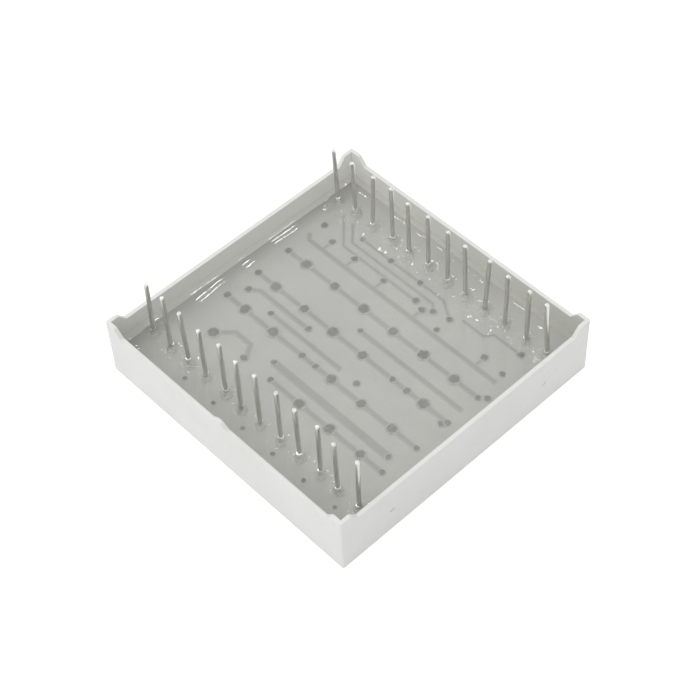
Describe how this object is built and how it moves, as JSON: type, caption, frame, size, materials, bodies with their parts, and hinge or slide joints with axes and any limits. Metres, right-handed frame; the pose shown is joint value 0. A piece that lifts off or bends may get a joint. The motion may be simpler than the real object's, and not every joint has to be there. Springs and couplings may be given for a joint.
{
  "type": "led dot matrix display",
  "caption": "Square LED dot matrix module lying on its face: open-backed white housing, resin-potted circuit board and two rows of thin round pins.",
  "frame": {"origin": "middle of the display face, which lies on the surface", "axes": "+X along the pin rows, +Y from the marked side to the far side, +Z from the face to the pin tips"},
  "size_m": [0.0318, 0.0318, 0.0108],
  "materials": {
    "white_plastic": "moulded, satin",
    "milky_epoxy": "milky, level with the face",
    "red_chip": "sawn crystal",
    "green_chip": "sawn crystal",
    "board": "resin paper laminate",
    "coated_copper": "copper under a thin coat",
    "silver_paste": "dull cured paste",
    "clear_resin": "clear, slightly cloudy, glossy",
    "tinned_wire": "tinned, slightly dull",
    "solder": "reflowed"
  },
  "bodies": {
    "root": {"housing": "white_plastic", "dot_lenses": "milky_epoxy", "red_chips": "red_chip", "green_chips": "green_chip", "circuit_board": "board", "copper_tracks": "coated_copper", "via_plugs": "silver_paste", "potting_resin": "clear_resin", "pin_01": "tinned_wire", "pin_02": "tinned_wire", "pin_03": "tinned_wire", "pin_04": "tinned_wire", "pin_05": "tinned_wire", "pin_06": "tinned_wire", "pin_07": "tinned_wire", "pin_08": "tinned_wire", "pin_09": "tinned_wire", "pin_10": "tinned_wire", "pin_11": "tinned_wire", "pin_12": "tinned_wire", "pin_13": "tinned_wire", "pin_14": "tinned_wire", "pin_15": "tinned_wire", "pin_16": "tinned_wire", "pin_17": "tinned_wire", "pin_18": "tinned_wire", "pin_19": "tinned_wire", "pin_20": "tinned_wire", "pin_21": "tinned_wire", "pin_22": "tinned_wire", "pin_23": "tinned_wire", "pin_24": "tinned_wire", "solder_joint_01": "solder", "solder_joint_02": "solder", "solder_joint_03": "solder", "solder_joint_04": "solder", "solder_joint_05": "solder", "solder_joint_06": "solder", "solder_joint_07": "solder", "solder_joint_08": "solder", "solder_joint_09": "solder", "solder_joint_10": "solder", "solder_joint_11": "solder", "solder_joint_12": "solder", "solder_joint_13": "solder", "solder_joint_14": "solder", "solder_joint_15": "solder", "solder_joint_16": "solder", "solder_joint_17": "solder", "solder_joint_18": "solder", "solder_joint_19": "solder", "solder_joint_20": "solder", "solder_joint_21": "solder", "solder_joint_22": "solder", "solder_joint_23": "solder", "solder_joint_24": "solder"}
  },
  "joints": []
}
